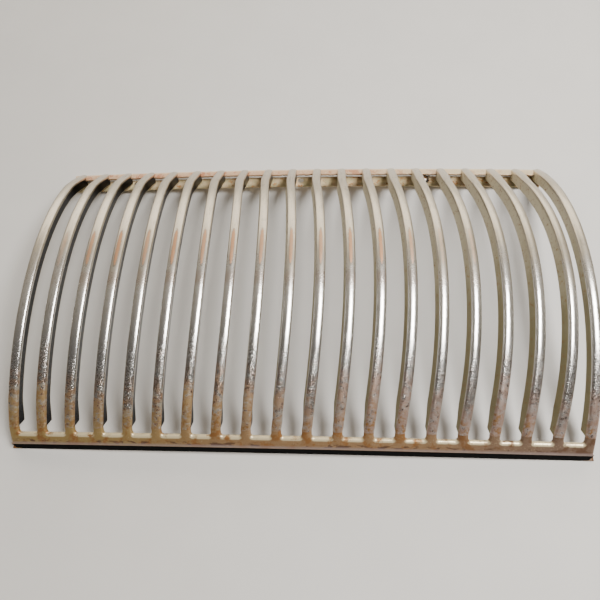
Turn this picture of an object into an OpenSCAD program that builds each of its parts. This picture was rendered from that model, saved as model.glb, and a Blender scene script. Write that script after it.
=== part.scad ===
// Front grille: arched vertical bars between a bottom rail and a header, with a mounting
// strip and its fastener behind the header. The grille lies on its back.
// X runs across the width, Y from the bottom rail to the header, Z out of the front.
// The origin is the centre of the underside. All lengths are in millimetres.

/* [Overall] */
// Number of vertical bars, both end bars included
bar_count = 20; // [16:1:30]
// Distance between neighbouring bars
pitch = 21.8; // [18:0.1:26]
// Depth of the base, from the bottom rail's edge to the header's edge
base_depth = 247; // [235:1:265]
// Distance of the arch's crest from the bottom rail's edge
crest_y = 125.5; // [115:0.5:140]
// Height of the crest above the base
crest_height = 55; // [45:0.5:62]
// How much lower the two ends of the width are than its middle
crown_drop = 5; // [3:0.5:8]

/* [Bars] */
// Width of a bar's face
bar_width = 7; // [6:0.5:9]
// Depth of a bar's two webs below its face
web_depth = 9.5; // [7:0.5:10]
// Thickness of a bar's sheet
bar_sheet = 1; // [0.8:0.1:1.2]
// Radius of the crowned face
face_r = 8; // [7:0.5:14]
// Radius of the shoulders between face and webs
shoulder_r = 1.6; // [1.3:0.1:2]
// Angle by which the bars lean to the right
bar_lean = 13; // [0:0.5:15]
// Distance by which the bars' tops lie further right than their feet
top_shift = 2; // [-4:0.5:4]
// The same angle for the right end bar, which stands upright
end_bar_lean = 0; // [0:0.5:15]
// The same distance for the right end bar
end_bar_top_shift = 1.5; // [-4:0.5:4]

/* [Bottom rail and header] */
// Distance of both lip edges from the edge of the base
lip_inset = 2.5; // [2:0.25:4]
// Height of the lip edges above the base
lip_height = 9; // [8:0.5:12]
// Thickness of the rail's and the header's sheet
rail_sheet = 1.2; // [1:0.1:1.4]
// Radius of the lips' noses
nose_r = 1.6; // [1.5:0.1:2]
// Where the openings start, from the edge of the base
band_end = 9; // [8:0.5:12]
// Length of the rail's stubs, which carry the bars
stub_length = 4; // [4:0.5:7]
// Corner radius of the openings
pocket_r = 2; // [1.6:0.2:3]
// Width of the header's shelf, from the edge of the base to its inner edge
header_width = 9.5; // [9:0.5:11]

/* [Mounting strip and fastener] */
// Width of the strip
strip_width = 10; // [9:0.5:11]
// Distance of the strip from the header's edge of the base
strip_inset = 7.5; // [6.5:0.5:7.5]
// Height of the strip's underside above the base
strip_height = 2.5; // [2:0.25:3]
// Thickness of the strip
strip_sheet = 1.5; // [1:0.1:2]
// Radius of the strip's screw holes
hole_r = 2.75; // [2.5:0.05:3]
// Radius of the screw's shank
shank_r = 2.4; // [2:0.05:2.45]
// Gap with the screw, counted from the left
screw_gap = 15; // [13:1:15]

/* [Part to show] */
// Node to draw

/* [Hidden] */
$fn = 96;
function bar_name(i) = str("bar_", i < 10 ? "0" : "", i);

// The arch is two arcs that meet at the crest, the long one on the bottom rail's side.
rise = crest_height - lip_height;
run_low = crest_y - lip_inset;
run_high = base_depth - lip_inset - crest_y;
r_low = (run_low * run_low + rise * rise) / (2 * rise);
r_high = (run_high * run_high + rise * rise) / (2 * rise);

// The crown across the width is an arc about an axis parallel to Y, far below.
half_width = ((bar_count - 1) * pitch + bar_width) / 2;
crown_r = (half_width * half_width + crown_drop * crown_drop) / (2 * crown_drop);
mean_height = 30;
step_angle = pitch / (crown_r + mean_height) * 180 / PI;
end_angle = (bar_count - 1) / 2 * step_angle + bar_width / 2 / crown_r * 180 / PI;
base_z = crown_r * (1 - cos(end_angle));
crown_fn = 1440;
arch_fn = 240;

// Centres of the shoulder arcs in a bar's outline, and how far the shoulders are turned
shoulder_x = bar_width / 2 - shoulder_r;
shoulder_turn = asin(shoulder_x / (face_r - shoulder_r));
shoulder_z = -face_r + (face_r - shoulder_r) * cos(shoulder_turn);
shoulder_steps = 4;
face_steps = 6;

// Where the bars start and end along the section, and where they stop leaning
face_start = band_end + stub_length;
face_end = base_depth - lip_inset;
upright_start = base_depth - 25;
upright_lap = 0.5;
tongue_width = bar_width - 2 * bar_sheet;
strip_top = strip_height + strip_sheet;
foot_length = 8;
foot_width = 7;
foot_reach = half_width + 2;
hole_gaps = [3, 10, screw_gap];
hole_y = base_depth - 11;
washer_r = 5.2;
washer_sheet = 0.9;
nut_sheet = 0.8;

function bar_angle(i) = (i - (bar_count + 1) / 2) * step_angle;
function gap_angle(k) = (k - bar_count / 2) * step_angle;
function fall(y, run_y, r) = asin((run_y - y) / r);

// The bars lean about a line through the rail's stubs, at this height.
pivot_z = crest_height - r_low + r_low * cos(fall(face_start, crest_y, r_low));
upright_z = crest_height - r_high + r_high * cos(fall(upright_start, crest_y, r_high));

// Puts its children, drawn in the section's own coordinates, at an angle of the crown.
module crowned(angle) {
    translate([0, 0, base_z - crown_r])
        rotate([0, angle, 0])
            translate([0, -base_depth / 2, crown_r])
                children();
}

// Sweeps a flat section of [height, distance along Y] points across the crown.
module crown_sweep(half_angle) {
    translate([0, -base_depth / 2, base_z - crown_r])
        rotate([90, 0, 180])
            rotate_extrude(angle = 2 * half_angle, start = 90 - half_angle, $fn = crown_fn)
                translate([crown_r, 0])
                    children();
}

// Sweeps a flat section of [height from the face, distance across] points along the arch.
module arch_sweep(from_y, to_y) {
    low_end = min(to_y, crest_y);
    high_start = max(from_y, crest_y);
    if (from_y < crest_y)
        translate([0, crest_y, crest_height - r_low])
            rotate([90, 0, 90])
                rotate_extrude(
                    start = 90 + fall(low_end, crest_y, r_low),
                    angle = fall(from_y, crest_y, r_low) - fall(low_end, crest_y, r_low),
                    $fn = arch_fn)
                    translate([r_low, 0])
                        children();
    if (to_y > crest_y)
        translate([0, crest_y, crest_height - r_high])
            rotate([90, 0, 90])
                rotate_extrude(
                    start = 90 + fall(to_y, crest_y, r_high),
                    angle = fall(high_start, crest_y, r_high) - fall(to_y, crest_y, r_high),
                    $fn = arch_fn)
                    translate([r_high, 0])
                        children();
}

// A bar's outline, moved inwards by a distance: right shoulder, crowned face, left shoulder.
function shoulder(side, inward) = [
    for (i = [0:shoulder_steps])
        let (t = 90 + (shoulder_turn - 90) * i / shoulder_steps)
            [shoulder_z + (shoulder_r - inward) * cos(t),
                side * (shoulder_x + (shoulder_r - inward) * sin(t))]
];
function crown_face(inward) = [
    for (i = [1:face_steps - 1])
        let (t = shoulder_turn * (1 - 2 * i / face_steps))
            [-face_r + (face_r - inward) * cos(t), (face_r - inward) * sin(t)]
];
function backwards(list) = [for (i = [len(list) - 1:-1:0]) list[i]];
function outline(inward) = concat(
    [[-web_depth, bar_width / 2 - inward]],
    shoulder(1, inward),
    crown_face(inward),
    backwards(shoulder(-1, inward)),
    [[-web_depth, -bar_width / 2 + inward]]);

module bar_section() {
    polygon(concat(outline(0), backwards(outline(bar_sheet))));
}

// A flat strip of the tongue's width between two depths below the face
module tongue_section(top, bottom) {
    translate([-bottom, -tongue_width / 2])
        square([bottom - top, tongue_width]);
}

// Leans a bar's body to the right and turns its top to the right.
module leaning(lean, shift) {
    translate([0, 0, pivot_z])
        rotate([0, lean, -atan(shift / base_depth)])
            translate([0, 0, -pivot_z])
                children();
}

// One bar: a leaning body, a tongue under the rail's stub and an upright top end. The top end's
// webs are cut off on the header's shelf and on the mounting strip, which carry the bar.
module bar(i) {
    lean = i == bar_count ? end_bar_lean : bar_lean;
    shift = i == bar_count ? end_bar_top_shift : top_shift;
    top_x = shift * upright_start / base_depth + (upright_z - pivot_z) * sin(lean);
    color([0.78, 0.7, 0.55])
        crowned(bar_angle(i)) {
            leaning(lean, shift)
                arch_sweep(face_start, upright_start + upright_lap)
                    bar_section();
            // The tongue, and the step that joins it to the face
            arch_sweep(band_end + 0.5, face_start + 1.5)
                tongue_section(rail_sheet, rail_sheet + bar_sheet);
            arch_sweep(face_start, face_start + 2)
                tongue_section(bar_sheet * 0.9, rail_sheet + bar_sheet);
            difference() {
                translate([top_x, 0, 0])
                    arch_sweep(upright_start - upright_lap, face_end)
                        bar_section();
                under_shelf();
                translate([-pitch / 2, upright_start, strip_top - pitch])
                    cube([pitch, pitch * 2, pitch]);
            }
        }
}

// The room under the header's outer surface, over one pitch
module under_shelf() {
    translate([-pitch / 2, base_depth, 0])
        rotate([90, 0, 90])
            linear_extrude(pitch)
                polygon([for (p = end_points(header_points, header_width)) [-p[1], p[0]]]);
}

// Section of an edge channel: its face along an arc, a round nose and a skirt down to the base.
// u is the distance from the channel's edge of the base. The points are [height, u].
nose_steps = 4;
arc_steps = 6;
lip_play = 1;
shelf_r = 40;
shelf_crest_u = 12;
shelf_top = 9.5;
function edge_section(reach, crest_u, centre_z, r) =
    let (
        lip_turn = asin((crest_u - lip_inset) / r),
        lip_z = centre_z + r * cos(lip_turn),
        skirt_turn = atan2(lip_z, lip_inset),
        back = nose_r / cos((skirt_turn - lip_turn) / 2),
        nose_turn = (skirt_turn + lip_turn) / 2,
        nose = [lip_z - back * cos(nose_turn), lip_inset + back * sin(nose_turn)],
        turns = [
            for (i = [0:arc_steps])
                fall(reach + (lip_inset + lip_play - reach) * i / arc_steps, crest_u, r)
        ],
        nose_turns = [for (i = [0:nose_steps]) lip_turn + (skirt_turn - lip_turn) * i / nose_steps],
        inner_r = nose_r - rail_sheet
    )
    concat(
        [for (t = turns) [centre_z + r * cos(t), crest_u - r * sin(t)]],
        [for (t = nose_turns) nose + nose_r * [cos(t), -sin(t)]],
        [[0, 0], [0, rail_sheet / sin(skirt_turn)]],
        [for (t = backwards(nose_turns)) nose + inner_r * [cos(t), -sin(t)]],
        [for (t = backwards(turns))
            [centre_z + (r - rail_sheet) * cos(t), crest_u - (r - rail_sheet) * sin(t)]]
    );

rail_points = edge_section(face_start, crest_y, crest_height - r_low, r_low);
header_points = edge_section(header_width, shelf_crest_u, shelf_top - shelf_r, shelf_r);

// The filled outline of an edge channel's outer points, for its closed ends
function end_points(points, u) = concat(
    [for (i = [0:arc_steps + nose_steps + 2]) if (points[i][1] <= u) points[i]],
    [[0, u], [max([for (p = points) if (p[1] <= u) p[0]]), u]]);

// A closed end of a channel, in the section's own coordinates, on one side of the width
module channel_end(side, points, u) {
    crowned(side * end_angle)
        translate([side < 0 ? 0 : -rail_sheet, 0, 0])
            rotate([90, 0, 90])
                linear_extrude(rail_sheet)
                    polygon([for (p = end_points(points, u)) [p[1], p[0]]]);
}

// Plan of one opening between two bars, from the band upwards
pocket_steps = 5;
module pocket_plan() {
    half = (pitch - bar_width) / 2;
    corner = [for (i = [0:pocket_steps]) 90 * i / pocket_steps];
    polygon(concat(
        [[-half, face_start + 10]],
        [for (t = corner) [-half + pocket_r * (1 - cos(t)), band_end + pocket_r * (1 - sin(t))]],
        [for (t = backwards(corner)) [half - pocket_r * (1 - cos(t)), band_end + pocket_r * (1 - sin(t))]],
        [[half, face_start + 10]]));
}

module bottom_rail() {
    color([0.62, 0.45, 0.22])
        difference() {
            union() {
                crown_sweep(end_angle)
                    polygon(rail_points);
                for (side = [-1, 1]) {
                    channel_end(side, rail_points, band_end);
                    // A foot turned in at the corner, flat on the base
                    translate([side * foot_reach - (side > 0 ? foot_width : 0), -base_depth / 2, 0])
                        cube([foot_width, foot_length, rail_sheet]);
                }
            }
            for (k = [1:bar_count - 1])
                crowned(gap_angle(k))
                    linear_extrude(crest_height)
                        pocket_plan();
        }
}

module header() {
    color([0.7, 0.55, 0.38])
        mirror([0, 1, 0]) {
            crown_sweep(end_angle)
                polygon(header_points);
            for (side = [-1, 1])
                channel_end(side, header_points, header_width);
        }
}

module strip_hole(k, r) {
    crowned(gap_angle(k))
        translate([0, hole_y, 0])
            cylinder(r = r, h = 2 * strip_top);
}

module mounting_strip() {
    strip_end = (half_width - rail_sheet - 0.3) / crown_r * 180 / PI;
    color([0.5, 0.42, 0.22])
        difference() {
            crown_sweep(strip_end)
                translate([strip_height, base_depth - strip_inset - strip_width])
                    square([strip_sheet, strip_width]);
            for (k = hole_gaps)
                strip_hole(k, hole_r);
        }
}

// Puts the fastener's pieces on the screw's axis, with Z = 0 on top of the strip.
module at_screw() {
    crowned(gap_angle(screw_gap))
        translate([0, hole_y, strip_top])
            children();
}

module mounting_screw() {
    head_r = 3.2;
    head_edge = 1.1;
    head_height = 2.1;
    dome_r = (head_r * head_r + pow(head_height - head_edge, 2)) / (2 * (head_height - head_edge));
    shank_length = washer_sheet + strip_sheet + nut_sheet + 0.7;
    recess = [3.4, 0.9, 1.2];
    color([0.75, 0.73, 0.68])
        at_screw()
            translate([0, 0, washer_sheet])
                difference() {
                    union() {
                        intersection() {
                            cylinder(r = head_r, h = head_height);
                            translate([0, 0, head_height - dome_r])
                                sphere(r = dome_r);
                        }
                        translate([0, 0, -shank_length])
                            cylinder(r = shank_r, h = shank_length + head_edge / 2);
                    }
                    for (turn = [0, 90])
                        rotate([0, 0, turn])
                            translate([-recess[0] / 2, -recess[1] / 2, head_height - recess[2]])
                                cube(recess);
                }
}

module lock_washer() {
    teeth = 14;
    notch_r = 0.7;
    color([0.15, 0.12, 0.1])
        at_screw()
            difference() {
                cylinder(r = washer_r, h = washer_sheet);
                translate([0, 0, -1])
                    cylinder(r = hole_r, h = washer_sheet + 2);
                for (i = [0:teeth - 1])
                    rotate([0, 0, 360 * i / teeth])
                        translate([washer_r, 0, -1])
                            cylinder(r = notch_r, h = washer_sheet + 2);
            }
}

module spring_nut() {
    nut = [13, 11, nut_sheet];
    color([0.35, 0.3, 0.25])
        at_screw()
            translate([0, 0, -strip_sheet - nut_sheet])
                difference() {
                    translate([-nut[0] / 2, -nut[1] / 2, 0])
                        cube(nut);
                    translate([0, 0, -1])
                        cylinder(r = shank_r, h = nut_sheet + 2);
                }
}

for (i = [1:bar_count])
    bar(i);
bottom_rail();
header();
mounting_strip();
mounting_screw();
lock_washer();
spring_nut();
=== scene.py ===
"""Looks of the front grille: worn plated bars between a bottom rail and a header."""
import math
import random

import bmesh
import bpy
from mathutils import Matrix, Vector, noise


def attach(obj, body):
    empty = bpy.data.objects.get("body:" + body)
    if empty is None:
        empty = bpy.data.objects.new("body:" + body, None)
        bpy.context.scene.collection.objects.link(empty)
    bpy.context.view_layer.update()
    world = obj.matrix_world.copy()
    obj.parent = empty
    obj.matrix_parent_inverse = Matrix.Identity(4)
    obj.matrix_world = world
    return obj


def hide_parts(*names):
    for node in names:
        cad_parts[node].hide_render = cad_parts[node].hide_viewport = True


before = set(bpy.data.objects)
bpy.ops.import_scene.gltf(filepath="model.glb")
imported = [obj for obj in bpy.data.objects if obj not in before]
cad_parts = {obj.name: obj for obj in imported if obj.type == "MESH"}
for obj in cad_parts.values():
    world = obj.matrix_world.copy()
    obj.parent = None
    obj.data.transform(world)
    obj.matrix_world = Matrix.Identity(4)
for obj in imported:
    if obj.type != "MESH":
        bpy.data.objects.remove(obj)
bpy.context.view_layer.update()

# ---------------------------------------------------------------- sizes, in millimetres
MM = 0.001
BAR_COUNT = 20
PITCH = 21.8
DEPTH = 247.0
CREST_Y = 125.5
CREST_Z = 55.0
LIP_INSET = 2.5
LIP_Z = 9.0
CROWN_DROP = 5.0
MEAN_HEIGHT = 30.0
BAR_WIDTH = 7.0
WEB_DEPTH = 9.5
SHEET = 1.0
FACE_R = 8.0
SHOULDER_R = 1.6
LEAN = math.radians(13.0)
TOP_SHIFT = 2.0
END_LEAN = 0.0
END_SHIFT = 1.5
BAND_END = 9.0
FACE_START = 13.0
UPRIGHT_START = 222.0
POCKET_R = 2.0
NOSE_R = 1.6
HEADER_WIDTH = 9.5
SHELF_R = 40.0
SHELF_CREST_U = 12.0
SHELF_TOP = 9.5
ROLL_SHARE = 0.38
STRIP_TOP = 4.0
STRIP_SHEET = 1.5
STRIP_LOW_Y = 229.5
STRIP_HIGH_Y = 239.5
HOLE_Y = 236.0
HOLE_R = 2.75
HOLE_GAPS = (3, 10, 15)
FOOT_REACH = 212.6
FOOT_WIDTH = 7.0
FOOT_LENGTH = 8.0
FOOT_SHEET = 1.2
FOOT_EDGE = 0.3
EDGE_CHANNEL_SHEET = 1.2
SHORT_WEB = SHEET + 0.9
WEB_TRIM = 0.1
STRIP_END_GAP = 1.5
HEADER_RAGGED = 0.5
STRIP_RAGGED = 0.35
HOLE_RAGGED = 0.12
HEADER_STEPS = 900
STRIP_STEPS = 700
HOLE_STEPS = 40
WELD = 2e-6

# ---------------------------------------------------------------- how the bars differ
FIRST_SEED = 100
SIDE_BEND = 0.25
WORN_BARS = range(3, 15)
FAINTLY_WORN_BARS = (2, 15, 16)
FAINT_WEAR = 0.45

# ---------------------------------------------------------------- the grille's own geometry
RISE = CREST_Z - LIP_Z
RUN_LOW = CREST_Y - LIP_INSET
RUN_HIGH = DEPTH - LIP_INSET - CREST_Y
R_LOW = (RUN_LOW ** 2 + RISE ** 2) / (2 * RISE)
R_HIGH = (RUN_HIGH ** 2 + RISE ** 2) / (2 * RISE)
HALF_WIDTH = ((BAR_COUNT - 1) * PITCH + BAR_WIDTH) / 2
CROWN_R = (HALF_WIDTH ** 2 + CROWN_DROP ** 2) / (2 * CROWN_DROP)
STEP = PITCH / (CROWN_R + MEAN_HEIGHT)
END_ANGLE = (BAR_COUNT - 1) / 2 * STEP + BAR_WIDTH / 2 / CROWN_R
BASE_Z = CROWN_R * (1 - math.cos(END_ANGLE))
HALF_BAR = BAR_WIDTH / 2


def smooth(t):
    t = min(1.0, max(0.0, t))
    return t * t * (3 - 2 * t)


def arch(y):
    r = R_LOW if y < CREST_Y else R_HIGH
    return CREST_Z - r + math.sqrt(r * r - (y - CREST_Y) ** 2)


def arch_turn(y):
    """How far the face's normal is turned towards the header at y."""
    return math.asin((y - CREST_Y) / (R_LOW if y < CREST_Y else R_HIGH))


def on_crown(angle, x, y, z):
    """A point of the section at an angle of the crown, in metres of the shared frame."""
    side = x * math.cos(angle) + (CROWN_R + z) * math.sin(angle)
    height = -x * math.sin(angle) + (CROWN_R + z) * math.cos(angle) - CROWN_R + BASE_Z
    return Vector((side, y - DEPTH / 2, height)) * MM


def bar_angle(i):
    return (i - (BAR_COUNT + 1) / 2) * STEP


def gap_angle(k):
    return (k - BAR_COUNT / 2) * STEP


PIVOT_Z = arch(FACE_START)
SHOULDER_X = HALF_BAR - SHOULDER_R
SHOULDER_TURN = math.asin(SHOULDER_X / (FACE_R - SHOULDER_R))
SHOULDER_Z = -FACE_R + (FACE_R - SHOULDER_R) * math.cos(SHOULDER_TURN)
TOUCH_X = FACE_R * math.sin(SHOULDER_TURN)


def edge_drop(d):
    """How far the crowned and rolled surface lies below the arch, d from its edge."""
    x = max(0.0, HALF_BAR - d)
    if x < TOUCH_X:
        return FACE_R - math.sqrt(FACE_R ** 2 - x * x)
    return -SHOULDER_Z - math.sqrt(max(0.0, SHOULDER_R ** 2 - (x - SHOULDER_X) ** 2))


# ---------------------------------------------------------------- mesh helpers
LAYERS = ("along", "across", "tone")


class Sheet:
    """A mesh under construction, with the lay of each point stored for the materials."""

    def __init__(self):
        self.bm = bmesh.new()
        self.layers = [self.bm.verts.layers.float.new(n) for n in LAYERS]

    def point(self, co, along, across, tone):
        v = self.bm.verts.new(co)
        for layer, value in zip(self.layers, (along, across, tone)):
            v[layer] = value
        return v

    def grid(self, rows, closed=False, flip=False):
        for a, b in zip(rows, rows[1:]):
            n = len(a)
            for j in range(n if closed else n - 1):
                loop = [a[j], a[(j + 1) % n], b[(j + 1) % n], b[j]]
                if len({id(v) for v in loop}) == 4:
                    self.bm.faces.new(reversed(loop) if flip else loop)

    def finish(self, name, node, material, sharp=50.0, weld=0.0, thickness=0.0, bevel=0.0):
        bm = self.bm
        if weld:
            bmesh.ops.remove_doubles(bm, verts=bm.verts, dist=weld)
        bmesh.ops.recalc_face_normals(bm, faces=bm.faces)
        for f in bm.faces:
            f.smooth = True
        for e in bm.edges:
            if len(e.link_faces) == 2 and e.calc_face_angle(0.0) > math.radians(sharp):
                e.smooth = False
        mesh = bpy.data.meshes.new(name)
        bm.to_mesh(mesh)
        bm.free()
        obj = bpy.data.objects.new(name, mesh)
        bpy.context.scene.collection.objects.link(obj)
        mesh.materials.append(material)
        if thickness:
            solid = obj.modifiers.new("thickness", "SOLIDIFY")
            solid.thickness = thickness * MM
            solid.offset = -1
            solid.use_even_offset = True
        if bevel:
            edge = obj.modifiers.new("edges", "BEVEL")
            edge.width = bevel * MM
            edge.segments = 2
            edge.limit_method = "ANGLE"
        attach(obj, "root")
        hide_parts(node)
        return obj


# ---------------------------------------------------------------- materials
def plain(sock, value):
    sock.default_value = value


class Paint:
    """A material whose nodes are made by short calls."""

    def __init__(self, name):
        self.material = bpy.data.materials.new(name)
        self.material.use_nodes = True
        self.tree = self.material.node_tree
        self.bsdf = self.tree.nodes["Principled BSDF"]
        self.place = self.node("ShaderNodeTexCoord").outputs["Object"]
        split = self.node("ShaderNodeSeparateXYZ", {0: self.place})
        self.x = split.outputs[0]

    def node(self, kind, inputs=None, **props):
        made = self.tree.nodes.new(kind)
        for key, value in props.items():
            setattr(made, key, value)
        for key, value in (inputs or {}).items():
            if isinstance(value, bpy.types.NodeSocket):
                self.tree.links.new(value, made.inputs[key])
            else:
                made.inputs[key].default_value = value
        return made

    def lay(self, name):
        return self.node("ShaderNodeAttribute", attribute_name=name).outputs["Fac"]

    def math(self, op, a, b=0.0, c=0.0):
        return self.node("ShaderNodeMath", {0: a, 1: b, 2: c}, operation=op).outputs[0]

    def ramp(self, x, low, high, out_low=0.0, out_high=1.0):
        n = self.node("ShaderNodeMapRange", {0: x, 1: low, 2: high, 3: out_low, 4: out_high},
                      interpolation_type="SMOOTHSTEP")
        return n.outputs[0]

    def noise(self, per_mm, detail=4.0, rough=0.55, twist=0.0, place=None):
        n = self.node("ShaderNodeTexNoise", {
            "Vector": place or self.place, "Scale": per_mm / MM, "Detail": detail,
            "Roughness": rough, "Distortion": twist})
        return n.outputs[0]

    def stretched(self, x, y, z):
        return self.node("ShaderNodeMapping", {0: self.place, 3: (x, y, z)}).outputs[0]

    def mix(self, fac, a, b):
        n = self.node("ShaderNodeMix", data_type="RGBA")
        for slot, value in ((0, fac), (6, a), (7, b)):
            if isinstance(value, bpy.types.NodeSocket):
                self.tree.links.new(value, n.inputs[slot])
            else:
                n.inputs[slot].default_value = (*value, 1.0) if isinstance(value, tuple) else value
        return n.outputs[2]

    def both(self, *masks):
        out = masks[0]
        for m in masks[1:]:
            out = self.math("MULTIPLY", out, m)
        return out

    def either(self, a, b):
        return self.math("MAXIMUM", a, b)

    def flip(self, a):
        return self.math("SUBTRACT", 1.0, a)

    def lerp(self, fac, a, b):
        return self.node("ShaderNodeMix", {0: fac, 2: a, 3: b}, data_type="FLOAT").outputs[0]

    def wire(self, **sockets):
        names = {"color": "Base Color", "rough": "Roughness",
                 "metal": "Metallic", "gloss": "Specular IOR Level"}
        for key, value in sockets.items():
            self.tree.links.new(value, self.bsdf.inputs[names[key]])

    def bump(self, height, reach, strength=1.0):
        n = self.node("ShaderNodeBump", {"Height": height, "Distance": reach * MM, "Strength": strength})
        self.tree.links.new(n.outputs[0], self.bsdf.inputs["Normal"])


IVORY = (0.66, 0.59, 0.47)
SATIN = (0.60, 0.56, 0.50)
CHROME = (0.80, 0.79, 0.77)
PIT = (0.035, 0.026, 0.020)
GREY_PIT = (0.16, 0.145, 0.125)
COPPER = (0.52, 0.27, 0.14)
PINK = (0.43, 0.29, 0.23)
OCHRE = (0.43, 0.29, 0.11)
RUST = (0.33, 0.17, 0.06)
DARK_RUST = (0.085, 0.042, 0.022)
KHAKI = (0.30, 0.26, 0.13)
WEB_IVORY = (0.72, 0.66, 0.49)
# Painted shade of the right-hand webs
WEB_SHADE_BLACK = (0.010, 0.012, 0.016)
SCUFF = (0.36, 0.32, 0.26)
SHADE = (0.30, 0.27, 0.22)
RAIL_LEFT = (0.38, 0.26, 0.10)
RAIL_MIDDLE = (0.36, 0.22, 0.11)
RAIL_RIGHT = (0.22, 0.145, 0.10)
RAIL_RUST = (0.32, 0.15, 0.05)
RAIL_RUST_RIGHT = (0.15, 0.08, 0.045)
RAIL_SPECK = (0.52, 0.40, 0.24)
# Plating on the rolled edges, partly a painted highlight
RAIL_PLATING_HIGHLIGHT = (0.84, 0.72, 0.46)
RAIL_LIP = (0.40, 0.31, 0.29)
# Painted shade of the skirt under the rail's lip
SKIRT_PAINTED_SHADE = (0.004, 0.004, 0.004)
HEADER_LEFT = (0.56, 0.38, 0.25)
HEADER_RIGHT = (0.66, 0.54, 0.36)
HEADER_RUST = (0.42, 0.17, 0.08)
HEADER_RUST_RIGHT = (0.55, 0.40, 0.25)
HEADER_SPECK = (0.70, 0.60, 0.46)
# Painted highlight of the header's rounded edge
HEADER_EDGE_HIGHLIGHT = (0.80, 0.70, 0.54)
HEADER_INNER = (0.30, 0.17, 0.09)
STRIP_DULL = (0.60, 0.51, 0.29)
STRIP_PALE = (0.74, 0.58, 0.36)
STRIP_RUST = (0.52, 0.25, 0.09)


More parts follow.
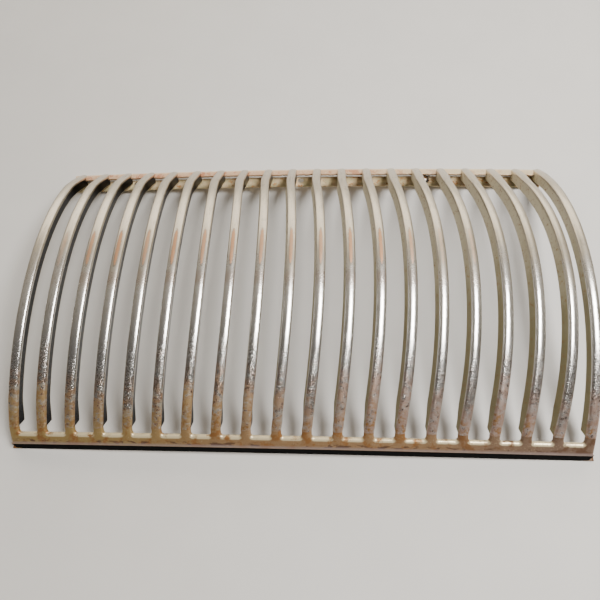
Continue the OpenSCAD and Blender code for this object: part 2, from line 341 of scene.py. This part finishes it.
def bar_paint():
    p = Paint("worn_bar_plating")
    along, across, tone = p.lay("along"), p.lay("across"), p.lay("tone")
    left = p.ramp(p.x, 0.10, -0.12)
    cloud = p.noise(0.06, 5.0, 0.6)
    grain = p.noise(0.9, 5.0, 0.65)
    drift = p.math("MULTIPLY_ADD", p.math("SUBTRACT", cloud, 0.5), 60.0, along)
    drift = p.math("MULTIPLY_ADD", p.math("SUBTRACT", tone, 0.5), 16.0, drift)
    # Bright plating in the middle, ivory satin towards the header
    color = p.mix(p.ramp(drift, 110.0, 150.0), CHROME, IVORY)
    color = p.mix(p.both(p.ramp(grain, 0.44, 0.62), p.ramp(drift, 60.0, 150.0)), color, SATIN)
    fine = p.noise(1.1, 4.0, 0.65, place=p.stretched(1.0, 0.10, 0.10))
    scuffs = p.both(p.ramp(fine, 0.50, 0.66), p.ramp(p.noise(0.10, 3.0), 0.42, 0.58))
    color = p.mix(p.math("MULTIPLY", scuffs, 0.55), color, SCUFF)
    # Darker on the side away from the light, painted in
    shade = p.lerp(left, p.ramp(across, 0.15, 0.95), p.ramp(across, 0.25, -0.9))
    color = p.mix(p.math("MULTIPLY", shade, 0.45), color, SHADE)
    rough = p.ramp(drift, 90.0, 150.0, 0.18, 0.33)
    # Grey pitting that starts below the highlight
    fade = p.ramp(drift, 88.0, 40.0)
    speck = p.ramp(p.noise(1.3, 3.0, 0.7), 0.60, 0.50)
    pits = p.both(fade, p.flip(speck))
    color = p.mix(p.both(pits, p.ramp(drift, 14.0, 44.0, 0.2, 0.75)), color, GREY_PIT)
    streak = p.noise(0.55, 4.0, 0.6, place=p.stretched(1.0, 0.35, 1.0))
    film = p.both(fade, p.ramp(streak, 0.42, 0.62))
    color = p.mix(p.math("MULTIPLY", film, 0.45), color, SATIN)
    # Copper showing through, then ochre rust beside the rail
    rosy = p.both(p.ramp(drift, 66.0, 34.0), p.ramp(p.noise(0.22, 4.0, 0.6), 0.40, 0.56))
    color = p.mix(p.math("MULTIPLY", rosy, 0.75), color, p.mix(left, PINK, COPPER))
    gold = p.both(p.ramp(drift, 52.0, 20.0), p.ramp(p.noise(0.35, 5.0, 0.65), 0.30, 0.55))
    color = p.mix(p.math("MULTIPLY", gold, 0.85), color, p.mix(left, PINK, OCHRE))
    rusty = p.both(p.ramp(drift, 36.0, 12.0), p.ramp(p.noise(0.30, 5.0, 0.7), 0.46, 0.62))
    color = p.mix(rusty, color, RUST)
    # Spots of black corrosion
    blot = p.ramp(p.noise(0.42, 3.0, 0.75, 0.6), 0.655, 0.72)
    blots = p.both(blot, p.ramp(drift, 105.0, 45.0))
    color = p.mix(blots, color, PIT)
    # The rubbed patches where the plating is worn through
    worn = p.lay("worn")
    end = p.math("DIVIDE", p.math("SUBTRACT", along, 142.0), 15.5)
    wide = p.math("DIVIDE", p.math("ADD", across, 0.10), 0.36)
    oval = p.math("ADD", p.math("POWER", p.math("ABSOLUTE", end), 4.0), p.math("MULTIPLY", wide, wide))
    oval = p.math("MULTIPLY_ADD", p.math("SUBTRACT", grain, 0.5), 2.6, oval)
    rubbed = p.both(p.ramp(oval, 1.05, 0.80), worn)
    rim = p.both(p.ramp(oval, 1.55, 1.15), p.flip(p.ramp(oval, 1.1, 0.85)), worn)
    color = p.mix(p.math("MULTIPLY", rim, 0.55), color, DARK_RUST)
    color = p.mix(p.math("MULTIPLY", rubbed, 0.9), color, COPPER)
    faint = p.both(p.ramp(along, 108.0, 114.0), p.ramp(along, 124.0, 119.0), worn)
    color = p.mix(p.math("MULTIPLY", faint, 0.35), color, PINK)
    # Webs: khaki film on the left web; the right web gets painted shade, blue-black
    on_left = p.ramp(across, -1.02, -1.25)
    right_web_shade = p.ramp(across, 1.02, 1.25)
    stain = p.ramp(p.noise(0.30, 5.0, 0.7), 0.52, 0.64)
    film_left = p.mix(p.ramp(drift, 70.0, 185.0), KHAKI, WEB_IVORY)
    film_left = p.mix(p.both(stain, p.ramp(p.noise(0.8, 4.0, 0.7), 0.45, 0.60)), film_left, RUST)
    color = p.mix(on_left, color, film_left)
    # The right web: painted shade in blue-black, with a little rust
    color = p.mix(right_web_shade, color, p.mix(p.math("MULTIPLY", stain, 0.25), WEB_SHADE_BLACK, DARK_RUST))
    # Painted highlight along the rear edges of the webs, rust stain inside
    edge = p.ramp(p.math("ABSOLUTE", across), 1.92, 1.98)
    color = p.mix(p.math("MULTIPLY", edge, 0.8), color, IVORY)
    inside = p.ramp(p.math("ABSOLUTE", across), 2.2, 2.6)
    color = p.mix(inside, color, p.mix(stain, DARK_RUST, KHAKI))
    corroded = p.either(p.either(rusty, gold), p.either(pits, blots))
    film_mask = p.either(on_left, inside)
    rough = p.lerp(corroded, rough, 0.46)
    rough = p.lerp(rubbed, rough, 0.50)
    rough = p.lerp(film_mask, rough, 0.55)
    rough = p.math("MULTIPLY_ADD", p.math("SUBTRACT", grain, 0.5), 0.16, rough)
    metal = p.lerp(p.either(rusty, blots), 1.0, 0.25)
    metal = p.lerp(gold, metal, 0.72)
    metal = p.lerp(film_mask, metal, 0.35)
    p.wire(color=color, rough=rough, metal=metal)
    height = p.math("MULTIPLY_ADD", p.math("MAXIMUM", pits, blots), -0.6, grain)
    p.bump(height, 0.10, 0.55)
    return p.material


def rail_paint():
    p = Paint("rusty_rail_plating")
    along = p.lay("along")
    left = p.ramp(p.x, -0.02, -0.16)
    right = p.ramp(p.x, 0.06, 0.19)
    cloud = p.noise(0.12, 5.0, 0.65)
    grain = p.noise(0.9, 5.0, 0.65)
    color = p.mix(left, p.mix(right, RAIL_MIDDLE, RAIL_RIGHT), RAIL_LEFT)
    color = p.mix(p.ramp(cloud, 0.50, 0.62), color, p.mix(right, RAIL_RUST, RAIL_RUST_RIGHT))
    color = p.mix(p.both(p.ramp(grain, 0.55, 0.7), p.ramp(cloud, 0.55, 0.42)), color, RAIL_SPECK)
    # Plating left along the openings' rolled edges, with a painted highlight where the lower edges face up
    roll = p.lay("across")
    edge_plating_and_highlight = p.both(p.ramp(roll, 0.62, 0.42), p.ramp(p.lay("tone"), 0.25, 0.8), p.ramp(cloud, 0.66, 0.50))
    color = p.mix(p.math("MULTIPLY", edge_plating_and_highlight, 0.9), color, RAIL_PLATING_HIGHLIGHT)
    dark = p.both(p.ramp(p.noise(0.30, 4.0, 0.7, 0.5, p.stretched(0.35, 1.0, 1.0)), 0.50, 0.62),
                  p.ramp(along, 6.6, 4.6), p.ramp(along, 2.2, 3.4))
    color = p.mix(dark, color, DARK_RUST)
    lip = p.both(p.ramp(along, 4.6, 2.9), p.ramp(along, 1.2, 2.4))
    color = p.mix(p.math("MULTIPLY", lip, 0.6), color, RAIL_LIP)
    # The skirt below the lip: painted shade, near black and dull
    skirt = p.ramp(along, 1.6, 0.6)
    color = p.mix(skirt, color, SKIRT_PAINTED_SHADE)
    rough = p.lerp(edge_plating_and_highlight, 0.46, 0.34)
    rough = p.lerp(skirt, rough, 0.9)
    rough = p.math("MULTIPLY_ADD", p.math("SUBTRACT", grain, 0.5), 0.2, rough)
    metal = p.lerp(edge_plating_and_highlight, 0.55, 0.45)
    metal = p.lerp(p.either(dark, skirt), metal, 0.1)
    p.wire(color=color, rough=rough, metal=metal, gloss=p.lerp(skirt, 0.5, 0.04))
    p.bump(p.math("MULTIPLY_ADD", dark, -0.7, grain), 0.12, 0.5)
    return p.material


def header_paint():
    p = Paint("rusty_header_plating")
    along = p.lay("along")
    right = p.ramp(p.x, 0.0, 0.16)
    cloud = p.noise(0.10, 5.0, 0.65)
    grain = p.noise(0.9, 5.0, 0.65)
    color = p.mix(right, HEADER_LEFT, HEADER_RIGHT)
    color = p.mix(p.ramp(cloud, 0.50, 0.60), color, p.mix(right, HEADER_RUST, HEADER_RUST_RIGHT))
    color = p.mix(p.ramp(grain, 0.56, 0.68), color, HEADER_SPECK)
    # Painted highlight along the header's rounded edge and the wall below it
    edge = p.ramp(along, 5.0, 2.5)
    color = p.mix(p.math("MULTIPLY", edge, 0.6), color, HEADER_EDGE_HIGHLIGHT)
    inner = p.ramp(along, 8.4, 9.6)
    color = p.mix(p.math("MULTIPLY", inner, 0.6), color, HEADER_INNER)
    rough = p.math("MULTIPLY_ADD", p.math("SUBTRACT", grain, 0.5), 0.25, 0.45)
    metal = p.lerp(p.ramp(cloud, 0.50, 0.60), 0.75, 0.3)
    p.wire(color=color, rough=rough, metal=metal)
    p.bump(grain, 0.12, 0.5)
    return p.material


def strip_paint():
    p = Paint("rusty_strip_steel")
    cloud = p.noise(0.09, 5.0, 0.65)
    grain = p.noise(0.8, 5.0, 0.7)
    color = p.mix(p.ramp(cloud, 0.42, 0.60), STRIP_DULL, STRIP_PALE)
    color = p.mix(p.ramp(p.noise(0.20, 5.0, 0.7), 0.54, 0.64), color, STRIP_RUST)
    color = p.mix(p.ramp(grain, 0.60, 0.70), color, DARK_RUST)
    p.wire(color=color, rough=p.ramp(grain, 0.3, 0.7, 0.55, 0.8))
    plain(p.bsdf.inputs["Metallic"], 0.25)
    p.bump(grain, 0.15, 0.6)
    return p.material


def steel_paint(name, base, spots, rough_low, rough_high, metal):
    p = Paint(name)
    cloud = p.noise(0.35, 5.0, 0.65)
    grain = p.noise(1.6, 4.0, 0.6)
    color = p.mix(p.ramp(cloud, 0.50, 0.62), base, spots)
    p.wire(color=color, rough=p.ramp(grain, 0.3, 0.7, rough_low, rough_high))
    plain(p.bsdf.inputs["Metallic"], metal)
    p.bump(grain, 0.08, 0.4)
    return p.material


BAR_PAINT = bar_paint()
RAIL_PAINT = rail_paint()
HEADER_PAINT = header_paint()
STRIP_PAINT = strip_paint()
CARRIED = {
    "mounting_screw": steel_paint("bright_screw", (0.62, 0.58, 0.50), (0.40, 0.24, 0.12), 0.25, 0.45, 1.0),
    # Near-black washer: painted shade for the dark ring round the screw head
    "lock_washer": steel_paint("washer_painted_shade", (0.020, 0.017, 0.015), (0.06, 0.03, 0.015), 0.45, 0.7, 0.6),
    "spring_nut": steel_paint("dull_nut", (0.16, 0.13, 0.10), (0.22, 0.10, 0.04), 0.4, 0.65, 0.8),
}

# ---------------------------------------------------------------- bars
FACE_STEPS = 8
SHOULDER_STEPS = 5
WEB_STEPS = 3


def bar_outline(half, depth, inward):
    """Outer or inner line of a bar's section as (x, height, across), left web to right web."""
    x0 = half - SHOULDER_R
    turn = math.asin(x0 / (FACE_R - SHOULDER_R))
    z0 = -FACE_R + (FACE_R - SHOULDER_R) * math.cos(turn)
    side = [(half - inward, -depth + (depth + z0) * k / WEB_STEPS, 2 - 0.9 * k / WEB_STEPS)
            for k in range(WEB_STEPS)]
    for k in range(SHOULDER_STEPS + 1):
        t = math.pi / 2 + (turn - math.pi / 2) * k / SHOULDER_STEPS
        x = x0 + (SHOULDER_R - inward) * math.sin(t)
        side.append((x, z0 + (SHOULDER_R - inward) * math.cos(t), x / half))
    face = []
    for k in range(1, FACE_STEPS):
        t = turn * (1 - 2 * k / FACE_STEPS)
        x = (FACE_R - inward) * math.sin(t)
        face.append((-x, -FACE_R + (FACE_R - inward) * math.cos(t), -x / half))
    mirrored = [(-x, z, -a) for x, z, a in side]
    return mirrored + face + side[::-1]


SHELF_CENTRE = SHELF_TOP - SHELF_R


def nose_of(crest_u, r, centre_z):
    """Centre of an edge channel's nose, and the angles between which it turns."""
    lip_turn = math.asin((crest_u - LIP_INSET) / r)
    lip_z = centre_z + r * math.cos(lip_turn)
    skirt_turn = math.atan2(lip_z, LIP_INSET)
    back = NOSE_R / math.cos((skirt_turn - lip_turn) / 2)
    turn = (skirt_turn + lip_turn) / 2
    return lip_z - back * math.cos(turn), LIP_INSET + back * math.sin(turn), lip_turn, skirt_turn


LOW_NOSE = nose_of(CREST_Y, R_LOW, CREST_Z - R_LOW)
HIGH_NOSE = nose_of(SHELF_CREST_U, SHELF_R, SHELF_CENTRE)


def shelf(u):
    return SHELF_CENTRE + math.sqrt(SHELF_R ** 2 - (SHELF_CREST_U - u) ** 2)


def standing_on(y):
    """Height of what lies under a bar's webs at y."""
    if y > DEPTH - HEADER_WIDTH:
        return shelf(max(DEPTH - y, LIP_INSET))
    return STRIP_TOP if y > STRIP_LOW_Y else -WEB_DEPTH


def web_depth(y, z, turn):
    depth = WEB_DEPTH
    while depth > SHORT_WEB and z - depth * math.cos(turn) < standing_on(y - depth * math.sin(turn)):
        depth -= WEB_TRIM
    return max(depth, SHORT_WEB)


def bar_path():
    """Stations along a bar as (y, z, turn of the normal, depth of the webs)."""
    stops = [FACE_START - 0.2 + 0.5 * k for k in range(8)]
    count = 104
    low, high = stops[-1] + 1.5, DEPTH - 12.0
    stops += [low + (high - low) * k / count for k in range(count + 1)]
    path = []
    for y in stops:
        web = SHORT_WEB + (WEB_DEPTH - SHORT_WEB) * smooth((y - FACE_START + 0.2) / 1.6)
        path.append((y, arch(y), arch_turn(y), min(web, web_depth(y, arch(y), arch_turn(y)))))
    last = DEPTH - LIP_INSET - 0.2
    for k in range(1, 19):
        y = high + (last - high) * k / 18
        path.append((y, arch(y), arch_turn(y), web_depth(y, arch(y), arch_turn(y))))
    return path


PATH = bar_path()


def wear_of(i):
    if i in WORN_BARS:
        return 1.0
    return FAINT_WEAR if i in FAINTLY_WORN_BARS else 0.0


def build_bar(i):
    lean, shift = (END_LEAN, END_SHIFT) if i == BAR_COUNT else (LEAN, TOP_SHIFT)
    rng = random.Random(FIRST_SEED + i)
    tone = rng.random()
    worn = wear_of(i) * (0.7 + 0.3 * rng.random())
    angle = bar_angle(i)
    sheet = Sheet()
    worn_layer = sheet.bm.verts.layers.float.new("worn")
    bend = rng.uniform(-SIDE_BEND, SIDE_BEND)

    def place(y, z, turn, x, h):
        tilt = lean * smooth((y - FACE_START) / 18.0) * smooth((UPRIGHT_START + 6.0 - y) / 16.0)
        follow = min(y, UPRIGHT_START)
        share = (follow - FACE_START) / (UPRIGHT_START - FACE_START)
        rise = arch(follow) - PIVOT_Z
        off_x = rise * math.sin(lean) + shift * UPRIGHT_START / DEPTH * share
        off_x += bend * math.sin(math.pi * share)
        off_z = rise * (math.cos(lean) - 1) * smooth((UPRIGHT_START + 6.0 - y) / 16.0)
        up = h * math.cos(turn)
        px = x * math.cos(tilt) + up * math.sin(tilt)
        pz = -x * math.sin(tilt) + up * math.cos(tilt)
        return on_crown(angle, off_x + px, y + h * math.sin(turn), z + off_z + pz)

    rings = []
    for y, z, turn, web in PATH:
        ring = []
        outer = bar_outline(HALF_BAR, web, 0.0)
        inner = bar_outline(HALF_BAR, web, SHEET)
        for x, h, across in outer:
            v = sheet.point(place(y, z, turn, x, h), y, across, tone)
            v[worn_layer] = worn
            ring.append(v)
        for x, h, across in reversed(inner):
            v = sheet.point(place(y, z, turn, x, h), y, 3.0, tone)
            v[worn_layer] = 0.0
            ring.append(v)
        rings.append(ring)
    sheet.grid(rings, closed=True)
    n = len(rings[0]) // 2
    for ring in (rings[0], rings[-1]):
        for j in range(n - 1):
            sheet.bm.faces.new([ring[j], ring[j + 1], ring[-2 - j], ring[-1 - j]])
    node = f"bar_{i:02d}"
    return sheet.finish(f"{node}_shell", node, BAR_PAINT)


for number in range(1, BAR_COUNT + 1):
    build_bar(number)

# ---------------------------------------------------------------- bottom rail
EDGE_LEVELS = (0.0, 0.1, 0.35, 0.7, 1.1, 1.6, 2.2, 2.8, HALF_BAR)
EDGE_WALL = 3.2


def lower_edge(sheet, angles):
    """Nose and skirt below the rail's face, as rows of points from the face downwards."""
    nose_z, nose_u, lip_turn, skirt_turn = LOW_NOSE
    rows = []
    for k in range(7):
        t = lip_turn + (skirt_turn - lip_turn) * k / 6
        u = nose_u - NOSE_R * math.sin(t)
        z = nose_z + NOSE_R * math.cos(t)
        rows.append([sheet.point(on_crown(a, 0, u, z), u if k < 6 else 1.5, 2.0, 0) for a in angles])
    u0, z0 = nose_u - NOSE_R * math.sin(skirt_turn), nose_z + NOSE_R * math.cos(skirt_turn)
    for k in (0.08, 0.35, 0.7, 1.0):
        rows.append([sheet.point(on_crown(a, 0, u0 * (1 - k), z0 * (1 - k)), -k * 8, 2.0, 0)
                     for a in angles])
    return rows


def build_rail():
    sheet = Sheet()
    nose_z, nose_u, lip_turn, skirt_turn = LOW_NOSE
    face_low = nose_u - NOSE_R * math.sin(lip_turn)
    half_pitch = PITCH / 2
    for i in range(1, BAR_COUNT + 1):
        centre = bar_angle(i)
        for side in (-1, 1):
            outer = (i == 1 and side < 0) or (i == BAR_COUNT and side > 0)

            def at(x, y, drop, roll, low_side=0.0):
                a = centre + side * x / (CROWN_R + MEAN_HEIGHT)
                t = arch_turn(y)
                return sheet.point(on_crown(a, 0, y - drop * math.sin(t), arch(y) - drop * math.cos(t)),
                                   y, roll, low_side)

            if outer:
                ys = [FACE_START - (FACE_START - face_low) * k / 14 for k in range(15)]
                rows = [[at(HALF_BAR - d, y, edge_drop(d), d / HALF_BAR + 0.4) for y in ys]
                        for d in EDGE_LEVELS]
                sheet.grid(rows)
                xs = [centre + side * (HALF_BAR - d) / (CROWN_R + MEAN_HEIGHT) for d in EDGE_LEVELS]
                low = lower_edge(sheet, xs)
                sheet.grid([[r[-1] for r in rows]] + low)
                # Closed end down to the base
                band = [r for r in rows[0] if (r.co.y / MM + DEPTH / 2) <= BAND_END]
                line = band + [row[0] for row in low]
                foot = [sheet.point(Vector((v.co.x, v.co.y, 0.0)), -4, 2.0, 0) for v in line]
                sheet.grid([line, foot])
                continue
            corner_x, corner_y = HALF_BAR + POCKET_R, BAND_END + POCKET_R
            path = [("down", FACE_START - (FACE_START - corner_y) * k / 3) for k in range(3)]
            path += [("turn", math.pi / 2 * k / 8) for k in range(9)]
            path += [("side", corner_x + (half_pitch - corner_x) * k / 3) for k in range(1, 4)]
            rows = []
            for d in (None,) + EDGE_LEVELS:
                row = []
                wall = d is None
                d = d or 0.0
                for kind, t in path:
                    low_side = {"down": 0.0, "side": 1.0}.get(kind, math.sin(t) ** 2)
                    depth = EDGE_WALL if wall else edge_drop(d * (1 - ROLL_SHARE * low_side))
                    if kind == "down":
                        row.append(at(HALF_BAR - d, t, depth, d / HALF_BAR))
                    elif kind == "turn":
                        r = POCKET_R + d
                        row.append(at(corner_x - r * math.cos(t), corner_y - r * math.sin(t), depth,
                                      d / HALF_BAR, low_side))
                    else:
                        row.append(at(t, BAND_END - d, depth, d / HALF_BAR, 1.0))
                rows.append(row)
            start = 3
            steps = 6
            edge = rows[-1][start:]
            count = len(edge) - 1
            last = edge
            for k in range(1, steps + 1):
                row = []
                for j, (kind, t) in enumerate(path[start:]):
                    goal = half_pitch * j / count
                    if kind == "turn":
                        r = POCKET_R + HALF_BAR
                        x, y = corner_x - r * math.cos(t), corner_y - r * math.sin(t)
                    else:
                        x, y = t, BAND_END - HALF_BAR
                    f = k / steps
                    row.append(at(x + (goal - x) * f, y + (face_low - y) * f, 0.0, 1.0))
                sheet.grid([last, row])
                last = row
            sheet.grid(rows)
            xs = [centre + side * half_pitch * j / count / (CROWN_R + MEAN_HEIGHT)
                  for j in range(count + 1)]
            low = lower_edge(sheet, xs)
            sheet.grid([last] + low)
    # Feet turned in at both corners
    for side in (-1, 1):
        x1 = side * FOOT_REACH
        x0 = side * (FOOT_REACH - FOOT_WIDTH)
        rings = []
        levels = ((FOOT_EDGE, 0.0), (0.0, FOOT_EDGE),
                  (0.0, FOOT_SHEET - FOOT_EDGE), (FOOT_EDGE, FOOT_SHEET))
        for inset, z in levels:
            ring = []
            for x, y, sx, sy in ((x0, 0, side, 1), (x1, 0, -side, 1), (x1, FOOT_LENGTH, -side, -1),
                                 (x0, FOOT_LENGTH, side, -1)):
                co = Vector((x + sx * inset, y + sy * inset - DEPTH / 2, z)) * MM
                ring.append(sheet.point(co, 9.0, 0.9, 0))
            rings.append(ring)
        sheet.grid(rings, closed=True)
        sheet.bm.faces.new(rings[0])
        sheet.bm.faces.new(rings[-1])
    return sheet.finish("bottom_rail_shell", "bottom_rail", RAIL_PAINT,
                        weld=WELD)


build_rail()


# ---------------------------------------------------------------- header and strip
def ragged(x, y, size):
    return noise.fractal(Vector((x, y, 0.37)), 0.6, 2.0, 4) * size


def build_header():
    sheet = Sheet()
    nose_z, nose_u, lip_turn, skirt_turn = HIGH_NOSE
    count = HEADER_STEPS
    face_low = nose_u - NOSE_R * math.sin(lip_turn)
    angles = [END_ANGLE * (2 * j / count - 1) for j in range(count + 1)]

    def line(u_of, z_of, along):
        return [sheet.point(on_crown(a, 0, DEPTH - u_of(a), z_of(a)), along, 0, 0) for a in angles]

    rows = []
    for k in range(9):
        f = k / 8

        def reach(a, f=f):
            far = HEADER_WIDTH - 0.35 + ragged(a * CROWN_R * 0.45, 0.0, HEADER_RAGGED)
            return far + (face_low - far) * f

        def face(a, f=f):
            return shelf(reach(a, f))

        rows.append(line(reach, face, HEADER_WIDTH + (face_low - HEADER_WIDTH) * f))
    for k in range(1, 6):
        t = lip_turn + (skirt_turn - lip_turn) * k / 5
        rows.append(line(lambda a, t=t: nose_u - NOSE_R * math.sin(t),
                         lambda a, t=t: nose_z + NOSE_R * math.cos(t), 2.0))
    u0, z0 = nose_u - NOSE_R * math.sin(skirt_turn), nose_z + NOSE_R * math.cos(skirt_turn)
    for k in (0.5, 0.95):
        rows.append(line(lambda a, k=k: u0 * (1 - k), lambda a, k=k: z0 * (1 - k), 0.0))
    sheet.grid(rows)
    for j in (0, -1):
        line_down = [row[j] for row in rows]
        foot = [sheet.point(Vector((v.co.x, v.co.y, 0.4 * MM)), 2.0, 0, 0) for v in line_down[:-1]]
        foot.append(line_down[-1])
        sheet.grid([line_down, foot])
    return sheet.finish("header_shell", "header", HEADER_PAINT,
                        weld=WELD, thickness=EDGE_CHANNEL_SHEET)


build_header()


def build_strip():
    sheet = Sheet()
    end = HALF_WIDTH - STRIP_END_GAP
    count = STRIP_STEPS
    loop = [(-end + 2 * end * j / count, STRIP_LOW_Y + 0.2 + ragged(j * 0.11, 5.0, STRIP_RAGGED))
            for j in range(count + 1)]
    loop += [(end - 2 * end * j / count, STRIP_HIGH_Y - 0.2 + ragged(j * 0.19, 9.0, STRIP_RAGGED))
             for j in range(count + 1)]
    edges = []

    def ring(points):
        made = [sheet.bm.verts.new((x * MM, y * MM, 0)) for x, y in points]
        for a, b in zip(made, made[1:] + made[:1]):
            edges.append(sheet.bm.edges.new((a, b)))

    ring(loop)
    for gap in HOLE_GAPS:
        cx = gap_angle(gap) * CROWN_R
        grow = 0.0 if gap == HOLE_GAPS[-1] else HOLE_RAGGED
        ring([(cx + (HOLE_R + ragged(t * 0.4, gap, grow)) * math.cos(t * math.tau / HOLE_STEPS),
               HOLE_Y + (HOLE_R + ragged(t * 0.4, gap, grow)) * math.sin(t * math.tau / HOLE_STEPS))
              for t in range(HOLE_STEPS)])
    bmesh.ops.triangle_fill(sheet.bm, use_beauty=True, edges=edges)
    for v in sheet.bm.verts:
        x, y = v.co.x / MM, v.co.y / MM
        v[sheet.layers[0]] = y
        v.co = on_crown(x / (CROWN_R + STRIP_TOP), 0, y, STRIP_TOP)
    for f in sheet.bm.faces:
        if f.normal.z < 0:
            f.normal_flip()
    return sheet.finish("mounting_strip_plate", "mounting_strip", STRIP_PAINT,
                        thickness=STRIP_SHEET)


build_strip()

for node_name, paint in CARRIED.items():
    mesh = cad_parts[node_name].data
    mesh.materials.clear()
    mesh.materials.append(paint)

# ---------------------------------------------------------------- floor, light and camera
FLOOR_HALF = 2.5
FLOOR_DROP = 0.0003
FLOOR_DARK = (0.66, 0.645, 0.62)
FLOOR_PALE = (0.72, 0.705, 0.68)
OVERHEAD_PLACE = (0.58, -0.06, 1.0)
OVERHEAD_POWER = 20.0
OVERHEAD_COLOR = (1.0, 0.98, 0.95)
BACK_WALL_PLACE = (0.0, 1.5, 0.75)
BACK_WALL_AIM = (0, 0, 0.05)
BACK_WALL_POWER = 22.0
BACK_WALL_COLOR = (1.0, 0.93, 0.82)
WORLD_DARK = (0.16, 0.15, 0.14, 1)
WORLD_WARM = (0.62, 0.56, 0.47, 1)
WORLD_STRENGTH = 0.8
CAMERA_PLACE = (0.02902, -0.1644, 0.3858)
CAMERA_TURN = (23.061, 3.35, 1.591)
LENS = 30.492
SENSOR = 36.0

corners = [(-FLOOR_HALF, -FLOOR_HALF, 0), (FLOOR_HALF, -FLOOR_HALF, 0),
           (FLOOR_HALF, FLOOR_HALF, 0), (-FLOOR_HALF, FLOOR_HALF, 0)]
floor_mesh = bpy.data.meshes.new("floor")
floor_mesh.from_pydata(corners, [], [(0, 1, 2, 3)])
floor = bpy.data.objects.new("floor", floor_mesh)
floor.location.z = -FLOOR_DROP
bpy.context.scene.collection.objects.link(floor)
floor_paint = Paint("pale_floor")
plain(floor_paint.bsdf.inputs["Roughness"], 0.75)
speckle = floor_paint.noise(0.02, 3.0)
floor_paint.wire(color=floor_paint.mix(speckle, FLOOR_DARK, FLOOR_PALE))
floor_mesh.materials.append(floor_paint.material)


def area_light(name, place, aim, wide, deep, power, color):
    data = bpy.data.lights.new(name, "AREA")
    data.shape = "RECTANGLE"
    data.size = wide
    data.size_y = deep
    data.energy = power
    data.color = color
    obj = bpy.data.objects.new(name, data)
    bpy.context.scene.collection.objects.link(obj)
    obj.location = place
    obj.rotation_euler = (Vector(aim) - Vector(place)).to_track_quat("-Z", "Y").to_euler()


area_light("overhead", OVERHEAD_PLACE, (0, 0, 0), 0.55, 0.42, OVERHEAD_POWER, OVERHEAD_COLOR)
area_light("back_wall", BACK_WALL_PLACE, BACK_WALL_AIM, 3.0, 1.0, BACK_WALL_POWER, BACK_WALL_COLOR)

world = bpy.data.worlds.new("studio")
bpy.context.scene.world = world
world.use_nodes = True
nodes = world.node_tree.nodes
links = world.node_tree.links
back = nodes["Background"]
coords = nodes.new("ShaderNodeTexCoord")
split = nodes.new("ShaderNodeSeparateXYZ")
links.new(coords.outputs["Generated"], split.inputs[0])
blend = nodes.new("ShaderNodeMapRange")
blend.interpolation_type = "SMOOTHSTEP"
for socket, value in ((1, -0.5), (2, 0.5), (3, 0.0), (4, 1.0)):
    blend.inputs[socket].default_value = value
links.new(split.outputs["Y"], blend.inputs[0])
tint = nodes.new("ShaderNodeMix")
tint.data_type = "RGBA"
tint.inputs[6].default_value = WORLD_DARK
tint.inputs[7].default_value = WORLD_WARM
links.new(blend.outputs[0], tint.inputs[0])
links.new(tint.outputs[2], back.inputs["Color"])
back.inputs["Strength"].default_value = WORLD_STRENGTH

camera_data = bpy.data.cameras.new("camera")
camera_data.sensor_width = SENSOR
camera_data.lens = LENS
camera = bpy.data.objects.new("camera", camera_data)
bpy.context.scene.collection.objects.link(camera)
camera.location = CAMERA_PLACE
camera.rotation_euler = [math.radians(a) for a in CAMERA_TURN]
bpy.context.scene.camera = camera
